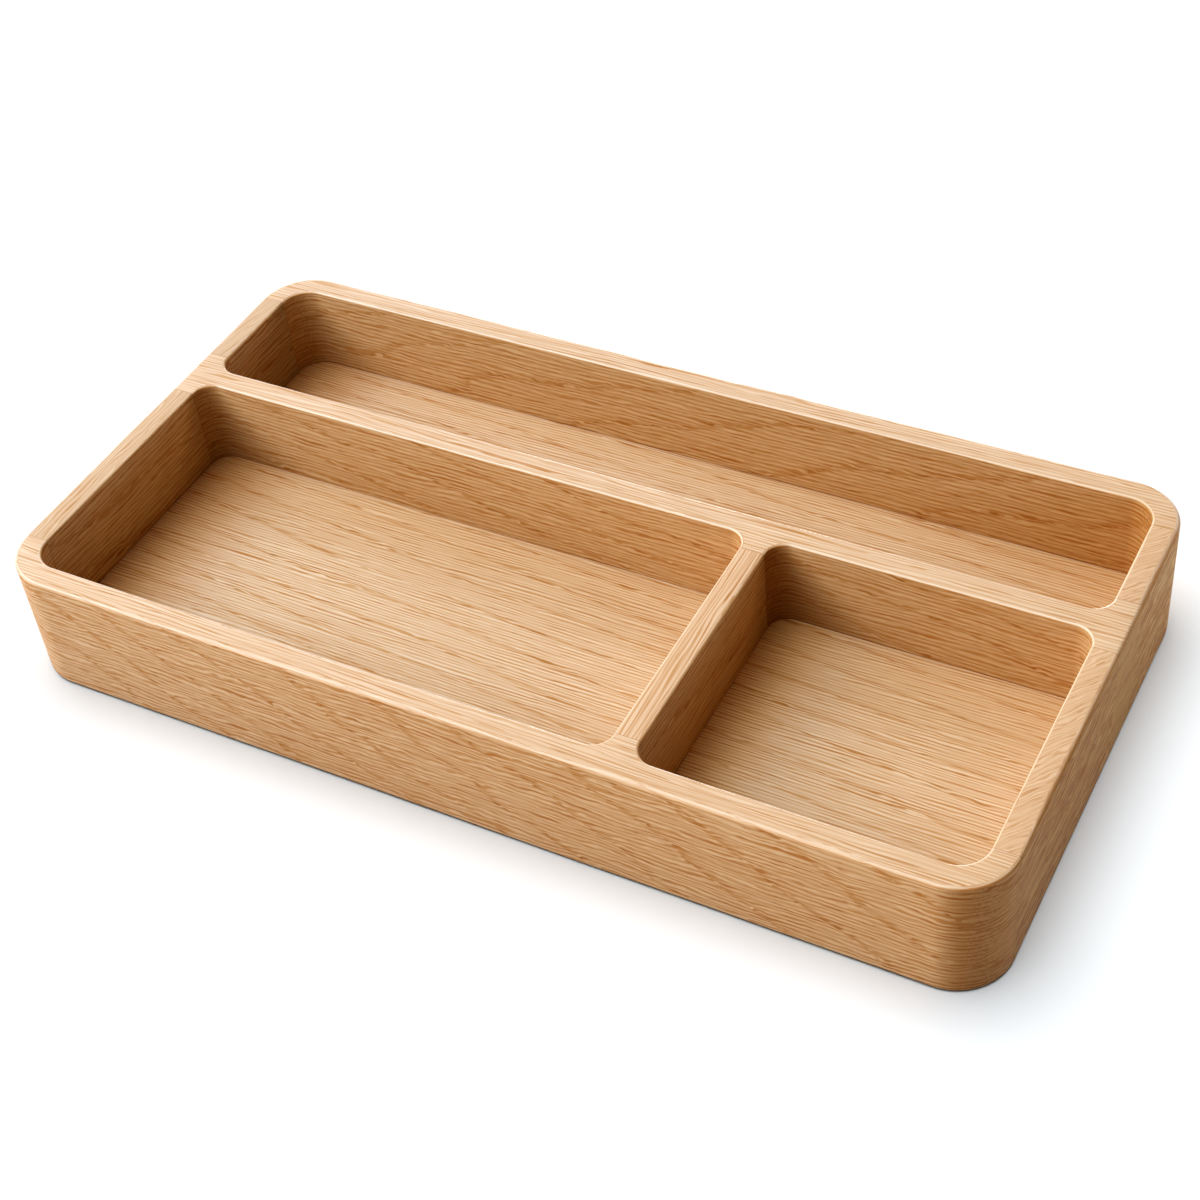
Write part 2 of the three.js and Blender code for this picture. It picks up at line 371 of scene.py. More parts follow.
def centre_rail_ends(x):
    """The centre rail's top and foot at each x: quarter rounds at its outer ends, glossy and given a
    painted highlight half way round, and a foot that steps up to the floor where the rebate begins."""
    from_face = np.minimum(x - LEFT, RIGHT - x)
    rim_reach = np.clip(RIM_EASE - from_face, 0, RIM_EASE)
    foot_reach = np.clip(FOOT_EASE - from_face, 0, FOOT_EASE)
    top = RIM_TOP - RIM_EASE + np.sqrt(RIM_EASE ** 2 - rim_reach ** 2)
    foot = FOOT + FOOT_EASE - np.sqrt(FOOT_EASE ** 2 - foot_reach ** 2)
    station = np.arange(len(x))
    on_skin = np.minimum(station, station[::-1]) <= EASE_STEPS + 1
    turned = rim_reach / RIM_EASE
    gloss_and_highlight = RIM_GLOSS_AND_HIGHLIGHT * 2 * turned * np.sqrt(1 - turned ** 2)
    return RailEnds(top, np.where(on_skin, foot, FLOOR), gloss_and_highlight)


def in_log(along, across, height, board):
    """Places on a board as mm in its log."""
    return np.stack([along, across, height], -1) / MM + np.array(board.shift)


def walked(edge, axis):
    """Length walked along an edge's plan points, counted so that it agrees with the axis at the
    middle station."""
    step = np.linalg.norm(np.diff(edge, axis=0), axis=1)
    length = np.concatenate([[0], np.cumsum(step)])
    middle = len(edge) // 2
    onward = np.sign(edge[-1, axis] - edge[0, axis])
    return edge[middle, axis] + onward * (length - length[middle])


def loft(stations, section, board, ends=None):
    """Grid of points, station by section point: the edge's plan point, moved into the wood by the
    inset and the wandering easing, at the section's height, under the top and over the foot of the
    ends where these are given. On walls the fibres follow the edge round its bends; on the top they
    run straight on or lean."""
    on_far = section.far[None, :, None] > 0.5
    edge = np.where(on_far, stations.far[:, None], stations.near[:, None])
    into = np.where(on_far, stations.far_in[:, None], stations.near_in[:, None])
    wander = ease_wander(edge)
    moved = section.inset + wander * section.curl_in
    plan = edge + moved[..., None] * into
    height = section.height - wander * section.curl_down
    in_the_open = np.linalg.norm(into, axis=-1) > 0
    eased = section.eased * in_the_open
    if ends:
        height = height + section.foot * (ends.foot[:, None] - FLOOR)
        height = np.minimum(height, ends.top[:, None])
        eased = eased + ends.gloss_and_highlight[:, None]

    axis, cross, middle = board.along, 1 - board.along, len(edge) // 2
    lengths = [walked(line, axis)[:, None] for line in (stations.far, stations.near)]
    length = np.where(on_far[..., 0], *lengths)
    depth = edge[middle, :, cross] + moved * into[middle, :, cross]
    wall_drawn, top_drawn = board.drawn
    lean = math.radians(board.lean)
    along, across = plan[..., axis], plan[..., cross]
    stroke = along * math.cos(lean) + across * math.sin(lean)
    beside = across * math.cos(lean) - along * math.sin(lean)
    return Lofted(
        points=np.concatenate([plan, height[..., None]], -1),
        walls=in_log(length * wall_drawn, depth, height, board),
        top=in_log(stroke * top_drawn, beside * TOP_SLANT, height, board),
        ends=in_log(across, along, height, board),
        eased=eased,
        pocket=section.pocket * in_the_open,
    )


def stacked(outline, inward, inset, height):
    """Grid of rings: the outline drawn in by each inset at each height."""
    plan = outline[None] + inset[:, None, None] * inward[None]
    level = np.broadcast_to(height[:, None, None], (*plan.shape[:2], 1))
    return np.concatenate([plan, level], -1)


def unmarked(points, places):
    """A grid whose places in the log are the same on every face, with no eased edge and no pocket."""
    none = np.zeros(points.shape[:2])
    return Lofted(points, places, places, places, none, none)


def ring_faces(rows, columns):
    """Quads between neighbouring rows of a grid of closed rings, and a face on each end."""
    row = np.arange(rows - 1)[:, None]
    column = np.arange(columns)[None, :]
    after_column = (column + 1) % columns
    quads = np.stack([
        row * columns + column, row * columns + after_column,
        (row + 1) * columns + after_column, (row + 1) * columns + column,
    ], -1).reshape(-1, 4).tolist()
    return quads + [list(range(columns)), list(range((rows - 1) * columns, rows * columns))]


def corner_places(lofted):
    """Log places for each corner of each face, in the order of ring_faces: the section's top strip
    takes the top's places, its other strips the walls', and the two end faces the ends'."""
    rows, columns = lofted.points.shape[:2]
    row = np.arange(rows - 1)[:, None, None] + np.array([0, 0, 1, 1])
    column = (np.arange(columns)[None, :, None] + np.array([0, 1, 1, 0])) % columns
    on_top = (np.arange(columns) == TOP_STRIP)[None, :, None, None]
    strips = np.where(on_top, lofted.top[row, column], lofted.walls[row, column])
    return np.concatenate([strips.reshape(-1, 3), lofted.ends[0], lofted.ends[-1]])


def make_piece(node, slot, material, lofted):
    """A closed mesh from a grid of rings, with doubles merged, faces outward and sharp edges kept,
    as a piece that stands for its CAD node."""
    name = f"{node}_{slot}"
    rows, columns = lofted.points.shape[:2]
    mesh = bpy.data.meshes.new(name)
    mesh.from_pydata(lofted.points.reshape(-1, 3), [], ring_faces(rows, columns))
    places = mesh.attributes.new("grain", "FLOAT_VECTOR", "CORNER")
    places.data.foreach_set("vector", corner_places(lofted).astype(np.float32).ravel())
    for mark in ("eased", "pocket"):
        values = getattr(lofted, mark).astype(np.float32).ravel()
        mesh.attributes.new(mark, "FLOAT", "POINT").data.foreach_set("value", values)
    work = bmesh.new()
    work.from_mesh(mesh)
    bmesh.ops.remove_doubles(work, verts=work.verts, dist=MERGE_DISTANCE)
    bmesh.ops.dissolve_degenerate(work, edges=work.edges, dist=MERGE_DISTANCE)
    bmesh.ops.recalc_face_normals(work, faces=work.faces)
    work.to_mesh(mesh)
    work.free()
    mesh.polygons.foreach_set("use_smooth", np.ones(len(mesh.polygons), bool))
    mesh.set_sharp_from_angle(angle=SHARP_ANGLE)
    mesh.materials.append(material)
    piece = bpy.data.objects.new(name, mesh)
    bpy.context.scene.collection.objects.link(piece)
    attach(piece, "root")
    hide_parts(node)


class Nodes:
    """Short calls that add nodes to one tree; a value for a socket may be a number or a socket."""

    def __init__(self, tree):
        self.tree = tree

    def feed(self, socket, value):
        if isinstance(value, bpy.types.NodeSocket):
            self.tree.links.new(value, socket)
        else:
            socket.default_value = value

    def add(self, kind, inputs=(), **settings):
        node = self.tree.nodes.new(kind)
        for key, value in settings.items():
            setattr(node, key, value)
        self.fill(node, dict(inputs))
        return node

    def fill(self, node, inputs):
        for key, value in inputs.items():
            self.feed(node.inputs[key], value)

    def math(self, operation, first, second=0.0, third=0.0, clamp=False):
        inputs = {0: first, 1: second, 2: third}
        node = self.add("ShaderNodeMath", inputs, operation=operation, use_clamp=clamp)
        return node.outputs[0]

    def times(self, first, second):
        return self.math("MULTIPLY", first, second)

    def span(self, value, low, high, to_low=0.0, to_high=1.0, smooth=True):
        """The value carried from one range to another, evenly or easing in and out."""
        kind = "SMOOTHSTEP" if smooth else "LINEAR"
        inputs = {"Value": value, "From Min": low, "From Max": high,
                  "To Min": to_low, "To Max": to_high}
        return self.add("ShaderNodeMapRange", inputs, interpolation_type=kind).outputs["Result"]

    def rise_and_fall(self, value, rise, fall):
        """The value carried over two ranges, one times the other."""
        return self.times(self.span(value, *rise), self.span(value, *fall))

    def between(self, value, low, high):
        """1 where the value lies between two others."""
        return self.times(self.math("GREATER_THAN", value, low), self.math("LESS_THAN", value, high))

    def vector(self, operation, first, second, third=(0.0, 0.0, 0.0), output=0):
        inputs = {0: first, 1: second, 2: third}
        return self.add("ShaderNodeVectorMath", inputs, operation=operation).outputs[output]

    def scaled(self, vector, scale):
        return self.vector("MULTIPLY", vector, scale)

    def moved(self, vector, by):
        return self.vector("ADD", vector, by)

    def dot(self, first, second):
        return self.vector("DOT_PRODUCT", first, second, output="Value")

    def parts(self, vector):
        """The vector's X, Y and Z."""
        return self.add("ShaderNodeSeparateXYZ", {0: vector}).outputs

    def turned(self, vector):
        """The vector with its x and y swapped."""
        place = self.parts(vector)
        swapped = {"X": place["Y"], "Y": place["X"], "Z": place["Z"]}
        return self.add("ShaderNodeCombineXYZ", swapped).outputs[0]

    def in_mm(self):
        """The place on the object in mm."""
        return self.scaled(self.add("ShaderNodeTexCoord").outputs["Object"], (1 / MM,) * 3)

    def noise(self, vector, detail=2.0, roughness=0.5, distortion=0.0, output=0):
        inputs = {"Vector": vector, "Scale": 1.0, "Detail": detail, "Roughness": roughness,
                  "Distortion": distortion}
        return self.add("ShaderNodeTexNoise", inputs).outputs[output]

    def drawn_out(self, vector, length, width, output=0):
        """Noise drawn out along the grain: one cell is length mm long and width mm across."""
        cells = self.scaled(vector, (1 / length, 1 / width, 1 / width))
        return self.noise(cells, detail=1.0, output=output)

    def sway(self, vector, length, width, reach):
        """Moves places across the grain by up to half the reach, as noise of such cells goes."""
        pull = self.drawn_out(vector, length, width, output=1)
        centred = self.moved(pull, (-0.5, -0.5, -0.5))
        sideways = self.add("ShaderNodeCombineXYZ", {"Y": reach, "Z": reach}).outputs[0]
        return self.vector("MULTIPLY_ADD", centred, sideways, vector)

    def mix(self, share, first, second, blend="MIX"):
        node = self.add("ShaderNodeMix", data_type="RGBA", blend_type=blend)
        sockets = [s for s in node.inputs if s.enabled]
        for socket, value in zip(sockets, (share, first, second)):
            self.feed(socket, value)
        return next(s for s in node.outputs if s.enabled)

    def tinted(self, colour, tint, share=1.0):
        """The colour times the tint, by a share."""
        return self.mix(share, colour, tint, "MULTIPLY")

    def group(self, group, inputs):
        return self.add("ShaderNodeGroup", inputs, node_tree=group).outputs

    def bump(self, height, strength, distance):
        inputs = {"Height": height, "Strength": strength, "Distance": distance}
        return self.add("ShaderNodeBump", inputs).outputs["Normal"]


SOCKETS = {float: "NodeSocketFloat", 3: "NodeSocketVector", 4: "NodeSocketColor"}


def new_group(name, inputs, outputs):
    """An empty shader group with named sockets, their kind read off the values given, and one for
    the place: its nodes, what comes in and the output node."""
    tree = bpy.data.node_groups.new(name, "ShaderNodeTree")
    inputs = {"Vector": (0.0, 0.0, 0.0), **inputs}
    for way, sockets in (("INPUT", inputs), ("OUTPUT", outputs)):
        for label, value in sockets.items():
            kind = SOCKETS[float if isinstance(value, float) else len(value)]
            socket = tree.interface.new_socket(name=label, in_out=way, socket_type=kind)
            socket.default_value = value
    nodes = Nodes(tree)
    return nodes, nodes.add("NodeGroupInput").outputs, nodes.add("NodeGroupOutput")


def new_material(name):
    """A material, its nodes and its shader."""
    material = bpy.data.materials.new(name)
    material.use_nodes = True
    return material, Nodes(material.node_tree), material.node_tree.nodes["Principled BSDF"]


# Cells of noise in the oak, each a length along and a width across the grain, in mm.
SLOW_SWAY_CELLS = (30, 9)
QUICK_SWAY_CELLS = (5, 1.8)
RING_CELLS = (60, 18)
SPACING_CELLS = (28, 3.2)
STRENGTH_CELLS = (6, 1.2)
BAND_CELLS = (80, 8)

# How the oak grew: where in a ring its trail rises and falls, what sways and spaces the fibres.
TRAIL_RISE = (0, 0.05)
TRAIL_FALL = (0.05, 0.24, 1, 0)
TRAIL_SWAY = 1.6
WAVE_SWAY = 0.36
UNEVEN_SPACING = 1.8
CREST = (-0.2, 0.85)
RIPPLE_STRENGTH = (0.40, 0.70, 0.25, 1.25)
RIPPLE_MEAN = 0.26

# Marks on the ripple's crests: their noise's place in the log and cells, what a trail adds to it, and
# the range over which a mark appears.
STREAKS = ((11, 5, 17), (20, 1.1), 0.04, (0.565, 0.68))
PORES = ((31, 7, 3), (5, 1.0), 0.13, (0.64, 0.76))


def oak_growth_group():
    """Fibres lie in thin layers that sway slowly, and more quickly where a growth ring starts: the
    trail. A ripple is the sine of the layers met across the grain, unevenly spaced, each of its own
    strength, about a mean. Streaks and pores are the ripple's crests where long and short noise
    cells are high, closer along a trail."""
    nodes, given, out = new_group(
        "oak_growth",
        {"Growth": (0.04, 0.25, 0.06), "Layers": (0.0, 0.83, 0.67), "Wave": 1.5},
        {"Trail": 0.0, "Ripple": 0.0, "Streaks": 0.0, "Pores": 0.0, "Bands": 0.0},
    )
    swayed = nodes.sway(given["Vector"], *SLOW_SWAY_CELLS, given["Wave"])
    rings = nodes.dot(swayed, given["Growth"])
    wandering = nodes.math("ADD", rings, nodes.drawn_out(given["Vector"], *RING_CELLS))
    ring = nodes.math("FRACT", wandering)
    trail = nodes.rise_and_fall(ring, TRAIL_RISE, TRAIL_FALL)
    own_sway = nodes.times(given["Wave"], WAVE_SWAY)
    quick_sway = nodes.math("MULTIPLY_ADD", trail, TRAIL_SWAY, own_sway)
    laid = nodes.sway(swayed, *QUICK_SWAY_CELLS, quick_sway)
    uneven = nodes.drawn_out(swayed, *SPACING_CELLS)
    layers = nodes.dot(laid, given["Layers"])
    layer = nodes.math("MULTIPLY_ADD", uneven, UNEVEN_SPACING, layers)
    swing = nodes.math("SINE", nodes.times(layer, math.tau))
    crest = nodes.span(swing, *CREST)
    strength = nodes.span(nodes.drawn_out(laid, *STRENGTH_CELLS), *RIPPLE_STRENGTH)

    def on_crests(shift, cells, by_trail, gate):
        noise = nodes.drawn_out(nodes.moved(laid, shift), *cells)
        trailing = nodes.math("MULTIPLY_ADD", trail, by_trail, noise)
        return nodes.times(crest, nodes.span(trailing, *gate))

    even = nodes.span(swing, -1, 1, -0.5, 0.5)
    nodes.fill(out, {
        "Trail": trail, "Ripple": nodes.math("MULTIPLY_ADD", even, strength, RIPPLE_MEAN),
        "Streaks": on_crests(*STREAKS), "Pores": on_crests(*PORES),
        "Bands": nodes.drawn_out(laid, *BAND_CELLS),
    })
    return nodes.tree


# Tints against plain oak, most of them painted light and shade: outer faces with painted shade
# towards the foot, on the right side and round the right corners; pocket walls with painted shade
# down the walls and in the crevice; tops painted paler than upright faces as a sheen, over each
# board's own tone; and at the ends, painted light falling off from left to right and painted shade
# towards the back.
FRONT_FOOT_SHADE_TINT = (1.11, 0.965, 0.82, 1)
FRONT_HEAD_TINT = (1.20, 1.07, 0.92, 1)
SIDE_FOOT_SHADE_TINT = (0.86, 0.615, 0.265, 1)
SIDE_HEAD_TINT = (1.065, 0.79, 0.34, 1)
SIDE_NEAR_TINT = (0.96, 0.935, 0.88, 1)
SIDE_FAR_LIGHT_TINT = (1.02, 1.08, 1.20, 1)
CORNER_SHADE_TINT = (0.69, 0.54, 0.35, 1)
CORNER_END_SHADE_TINT = (0.96, 0.82, 0.63, 1)
POCKET_HEAD_TINT = (0.985, 0.92, 0.755, 1)
POCKET_FOOT_SHADE_TINT = (0.76, 0.695, 0.535, 1)
POCKET_SIDE_HEAD_TINT = (0.97, 0.88, 0.66, 1)
POCKET_SIDE_FOOT_SHADE_TINT = (0.61, 0.50, 0.22, 1)
PEN_POCKET_SHADE_TINT = (1.0, 0.965, 0.90, 1)
CREVICE_SHADE_TINT = (0.55, 0.38, 0.18, 1)
RIM_TINT = (1.11, 1.17, 1.30, 1)
SIDE_TOP_TINT = (1.06, 1.05, 1.09, 1)
LEFT_TOP_TINT = (0.95, 0.95, 0.97, 1)
PANEL_TINT = (1.01, 1.10, 1.215, 1)
LIT_LEFT_TINT = (1.0, 1.03, 1.12, 1)
DIM_RIGHT_TINT = (0.96, 0.92, 0.87, 1)
BACK_SHADE_TINT = (0.975, 0.97, 0.975, 1)

# Ranges of a normal's x, y or z over which one face's look gives way to the next.
FACES_RIGHT = (0.12, 0.75)
CORNER_TURN = (-0.06, 0.46)
CORNER_END = (0.6, 0.98)
PAST_CORNER = (-0.22, -0.06)
FACES_UP = (0.25, 0.95)
LIES_FLAT = (0.9, 0.98)
CUT_ACROSS = (0.35, 0.65)
CUT_SQUARE = (0.8, 0.98, 1, 0.2)
LIT_SIDE = (0.3, -0.05, 0, 0.9)
SHADED_SIDE = (0.15, 0.5, 0, 0.85)
EDGE_LOWER_HALF = (0.2, 0.5)
EDGE_UPPER_HALF = (0.92, 0.72)


def light_and_shade_tint_group():
    """Light and shade painted into a face's colour: level faces take their own top tint, painted paler
    than upright faces as a sheen; upright faces have painted shade deeper towards their foot, deepest
    down a pocket's walls. Faces that look right have deeper painted shade, outer ones painted paler
    towards the back, and the right corners' end grain has painted shade half way round. Painted light
    falls off from the tray's left end to its right, and level faces and pocket walls from the centre
    rail back have painted shade."""
    nodes, given, out = new_group(
        "light_and_shade_tint",
        {"Normal": (0.0, 0.0, 1.0), "Pocket": 0.0, "Top Tint": (1.0, 1.0, 1.0, 1.0)},
        {"Tint": (1.0, 1.0, 1.0, 1.0)},
    )
    lean, place = nodes.parts(given["Normal"]), nodes.parts(given["Vector"])
    from_left = nodes.span(place["X"], LEFT / MM, RIGHT / MM, smooth=False)
    from_front = nodes.span(place["Y"], FRONT / MM, BACK / MM, smooth=False)
    height = nodes.span(place["Z"], FOOT / MM, RIM_TOP / MM, smooth=False)
    at_back = nodes.span(place["Y"], CENTRE_FRONT_JOINT / MM, CENTRE_REAR_JOINT / MM)
    sideways = nodes.span(lean["X"], *FACES_RIGHT)

    # Outer faces: painted shade deepening towards the foot and half way round the right corners.
    front = nodes.mix(height, FRONT_FOOT_SHADE_TINT, FRONT_HEAD_TINT)
    turned = nodes.mix(nodes.span(lean["X"], *CORNER_END), CORNER_SHADE_TINT, CORNER_END_SHADE_TINT)
    front = nodes.tinted(front, turned, nodes.span(lean["X"], *CORNER_TURN))
    # Outer faces that look right: deeper painted shade, painted paler towards the back.
    side = nodes.tinted(nodes.mix(height, SIDE_FOOT_SHADE_TINT, SIDE_HEAD_TINT),
                        nodes.mix(from_front, SIDE_NEAR_TINT, SIDE_FAR_LIGHT_TINT))
    outer = nodes.mix(nodes.times(sideways, nodes.span(lean["Y"], *PAST_CORNER)), front, side)

    # Pocket walls: painted shade deepening down the wall, deeper on walls that look right, in the pen
    # pocket and in the crevice.
    head = nodes.mix(sideways, POCKET_HEAD_TINT, POCKET_SIDE_HEAD_TINT)
    foot = nodes.mix(sideways, POCKET_FOOT_SHADE_TINT, POCKET_SIDE_FOOT_SHADE_TINT)
    down = nodes.span(given["Pocket"], WALL_HEAD_SHADE, 1, smooth=False)
    inner = nodes.tinted(nodes.mix(down, head, foot), PEN_POCKET_SHADE_TINT, at_back)
    inner = nodes.mix(nodes.span(given["Pocket"], 1, CREVICE_SHADE), inner, CREVICE_SHADE_TINT)

    upright = nodes.mix(nodes.span(given["Pocket"], 0, WALL_HEAD_SHADE), outer, inner)
    # Level faces: their own top tint, painted paler than upright faces as a sheen, with painted shade
    # from the centre rail back.
    level = nodes.tinted(given["Top Tint"], BACK_SHADE_TINT, at_back)
    face = nodes.mix(nodes.span(lean["Z"], *FACES_UP), upright, level)
    # Painted light falling off from the tray's left end to its right.
    light_falloff = nodes.mix(from_left, LIT_LEFT_TINT, DIM_RIGHT_TINT)
    nodes.fill(out, {"Tint": nodes.tinted(face, light_falloff)})
    return nodes.tree


def glue_line_group():
    """A hair line where two rails meet: 1 on the joint's plane across y, fading within the half
    width, between two x. All in mm."""
    nodes, given, out = new_group(
        "glue_line", {"Joint": 0.0, "From": 0.0, "To": 0.0, "Half Width": 0.2}, {"Mask": 0.0})
    place = nodes.parts(given["Vector"])
    away = nodes.math("ABSOLUTE", nodes.math("SUBTRACT", place["Y"], given["Joint"]))
    faded = nodes.math("DIVIDE", away, given["Half Width"])
    line = nodes.math("SUBTRACT", 1.0, faded, clamp=True)
    inside = nodes.between(place["X"], given["From"], given["To"])
    nodes.fill(out, {"Mask": nodes.times(line, inside)})
    return nodes.tree


SHADE_TAPER = 0.15


def wall_shade_group():
    """Painted shadow beside a wall: 1 at the wall's x, fading out over the reach, which is less than 0
    to the wall's left, between two y. The reach narrows from the floor up to the rim. All in mm. For
    a wall that stands across y the vector comes in with x and y swapped."""
    nodes, given, out = new_group(
        "wall_shade", {"Wall": 0.0, "From": 0.0, "To": 0.0, "Reach": 30.0}, {"Mask": 0.0})
    place = nodes.parts(given["Vector"])
    taper = nodes.span(place["Z"], FLOOR / MM, RIM_TOP / MM, 1, SHADE_TAPER, smooth=False)
    reach = nodes.times(given["Reach"], taper)
    away = nodes.math("DIVIDE", nodes.math("SUBTRACT", place["X"], given["Wall"]), reach)
    near = nodes.times(nodes.span(away, 0, 1, 1, 0), nodes.math("GREATER_THAN", away, 0.0))
    inside = nodes.between(place["Y"], given["From"], given["To"])
    nodes.fill(out, {"Mask": nodes.times(near, inside)})
    return nodes.tree


OAK_GROWTH = oak_growth_group()
LIGHT_AND_SHADE_TINT = light_and_shade_tint_group()
GLUE_LINE = glue_line_group()
WALL_SHADE = wall_shade_group()

# Colours of the oak, its marks and its edges, and how strongly each mark colours it. The edge colours
# are a painted highlight towards the light and painted shade away from it.
PALE_OAK = (0.88, 0.64, 0.405, 1)
HONEY_OAK = (0.64, 0.335, 0.125, 1)
STREAK_BROWN = (0.52, 0.20, 0.04, 1)
PORE_BROWN = (0.44, 0.165, 0.03, 1)
# Painted highlight of eased edges towards the light; painted shade of edges away from it, amber outside
# and tan in a pocket.
PAINTED_EDGE_HIGHLIGHT = (0.98, 0.82, 0.62, 1)
SHADED_EDGE_AMBER = (0.74, 0.37, 0.12, 1)
SHADED_EDGE_TAN = (0.96, 0.56, 0.21, 1)
GLUE_BROWN = (0.46, 0.225, 0.08, 1)
TRAIL_SHARE = 0.28
BAND_SHARE = (0.3, 0.7, 0.05, 0.2)
STREAK_SHARE = 0.58
PORE_SHARE = 0.48
GLUE_SHARE = 0.68

# End grain: its flecks, and how much calmer the rest of the figure is there.
FLECKS_PER_MM = (1.4, 0.7, 1.4)
FLECK_DETAIL = 1.5
PALE_FLECKS = (0.46, 0.36, 0, 0.4)
DARK_FLECKS = (0.54, 0.66, 0, 0.4)
END_CALM = 0.5

# The oiled finish: roughness, gloss, polished edges and relief.
OAK_ROUGHNESS = (0.45, 0.55)
PORE_ROUGHNESS = 0.25
OAK_SPECULAR = 0.06
EDGE_COAT = 0.35
COAT_ROUGHNESS = 0.22
PORE_SINK = -0.3
RIPPLE_SINK = -0.15
OAK_BUMP = 0.15
OAK_RELIEF = 0.12 * MM


def oak_material(name, board):
    """Oiled oak: pale wood that gleams between its fibres, with honey fibres, brown streaks and pores, a
    darker hair line at each glue joint and the painted light and shade of the face. Faces cut across
    the fibres show their ends as pale and dark flecks. Walls cast painted shadows on the faces beside
    them. Pores are rough and sunk; eased edges have a clear coat and a painted cream highlight towards
    the light, and painted shade away from it, amber outside and tan in a pocket."""
    material, nodes, shader = new_material(name)
    log_place = nodes.add("ShaderNodeAttribute", attribute_name="grain").outputs["Vector"]
    eased = nodes.add("ShaderNodeAttribute", attribute_name="eased").outputs["Fac"]
    pocket = nodes.add("ShaderNodeAttribute", attribute_name="pocket").outputs["Fac"]
    normal = nodes.add("ShaderNodeNewGeometry").outputs["Normal"]
    lean = nodes.parts(normal)
    in_mm = nodes.in_mm()
    growth = nodes.group(OAK_GROWTH, {
        "Vector": log_place, "Growth": board.growth, "Layers": board.layers,
        "Wave": nodes.span(lean["Z"], *LIES_FLAT, *board.wave),
    })
    tint = nodes.group(LIGHT_AND_SHADE_TINT, {
        "Vector": in_mm, "Normal": normal, "Pocket": pocket, "Top Tint": board.top_tint,
    })["Tint"]

    lively = nodes.span(lean["Z"], *FACES_UP, *board.lively)
    bands = nodes.span(growth["Bands"], *BAND_SHARE, smooth=False)
    figure = nodes.math("MULTIPLY_ADD", growth["Trail"], TRAIL_SHARE, growth["Ripple"])
    honey = nodes.math("MULTIPLY_ADD", figure, lively, bands)
    colour = nodes.mix(honey, PALE_OAK, HONEY_OAK)

    across_fibres = nodes.math("ABSOLUTE", lean["XY"[board.along]])
    fibre_ends = nodes.rise_and_fall(across_fibres, CUT_ACROSS, CUT_SQUARE)
    flecks = nodes.noise(nodes.scaled(in_mm, FLECKS_PER_MM), FLECK_DETAIL)
    shown = nodes.times(lively, nodes.math("MULTIPLY_ADD", fibre_ends, -END_CALM, 1.0))
    lit_side = nodes.span(lean["X"], *LIT_SIDE)
    half_up = nodes.rise_and_fall(lean["Z"], EDGE_LOWER_HALF, EDGE_UPPER_HALF)
    shaded_edge = nodes.mix(nodes.math("GREATER_THAN", pocket, 0.0), SHADED_EDGE_AMBER, SHADED_EDGE_TAN)
    marks = [
        (fibre_ends, nodes.span(flecks, *PALE_FLECKS), PALE_OAK),
        (nodes.times(growth["Streaks"], shown), STREAK_SHARE, STREAK_BROWN),
        (nodes.times(growth["Pores"], shown), PORE_SHARE, PORE_BROWN),
        (fibre_ends, nodes.span(flecks, *DARK_FLECKS), PORE_BROWN),
        # A painted cream highlight on eased edges towards the light.
        (eased, lit_side, PAINTED_EDGE_HIGHLIGHT),
        # Painted shade on edges half way up that look away from the light: amber outside, tan in a
        # pocket.
        (half_up, nodes.span(lean["X"], *SHADED_SIDE), shaded_edge),
    ]
    for joint in board.joints:
        line = nodes.group(GLUE_LINE, {
            "Vector": in_mm, "Joint": joint.y / MM, "From": joint.start / MM, "To": joint.end / MM,
        })["Mask"]
        marks.append((line, GLUE_SHARE, GLUE_BROWN))
    for mask, share, mark_colour in marks:
        colour = nodes.mix(nodes.times(mask, share), colour, mark_colour)
    # Painted shadows beside the walls, on pocket walls below their head and on the panel.
    for shade in board.shades:
        painted_shadow = nodes.group(WALL_SHADE, {
            "Vector": nodes.turned(in_mm) if shade.axis == Y_AXIS else in_mm,
            "Wall": shade.wall / MM, "From": shade.start / MM, "To": shade.end / MM,
            "Reach": shade.reach / MM,
        })["Mask"]
        painted_shadow = nodes.times(painted_shadow, nodes.span(pocket, 0, WALL_HEAD_SHADE))
        tint = nodes.tinted(tint, shade.tint, painted_shadow)

    grain_rough = nodes.span(growth["Ripple"], 0, 1, *OAK_ROUGHNESS, smooth=False)
    rough = nodes.math("MULTIPLY_ADD", growth["Pores"], PORE_ROUGHNESS, grain_rough)
    coat = nodes.span(eased, 0, RIM_GLOSS_AND_HIGHLIGHT, 0, EDGE_COAT, smooth=False)
    sunk_ripple = nodes.times(growth["Ripple"], RIPPLE_SINK)
    relief = nodes.math("MULTIPLY_ADD", growth["Pores"], PORE_SINK, sunk_ripple)
    nodes.fill(shader, {
        "Base Color": nodes.tinted(colour, tint), "Roughness": rough,
        "Specular IOR Level": OAK_SPECULAR, "Coat Weight": nodes.times(coat, lit_side),
        "Coat Roughness": COAT_ROUGHNESS, "Normal": nodes.bump(relief, OAK_BUMP, OAK_RELIEF),
    })
    return material


BEECH_PALE = (0.72, 0.50, 0.32, 1)
BEECH_ROSE = (0.60, 0.37, 0.21, 1)
BEECH_FLECK = (0.42, 0.22, 0.11, 1)
BEECH_GROWTH = {"Growth": (0.01, 0.5, 0.3), "Layers": (0, 1.1, 0.8), "Wave": 0.3}
BEECH_FLECK_SHARE = 0.6
BEECH_ROUGHNESS = (0.55, 0.7)
BEECH_BUMP = 0.3
BEECH_RELIEF = 0.1 * MM


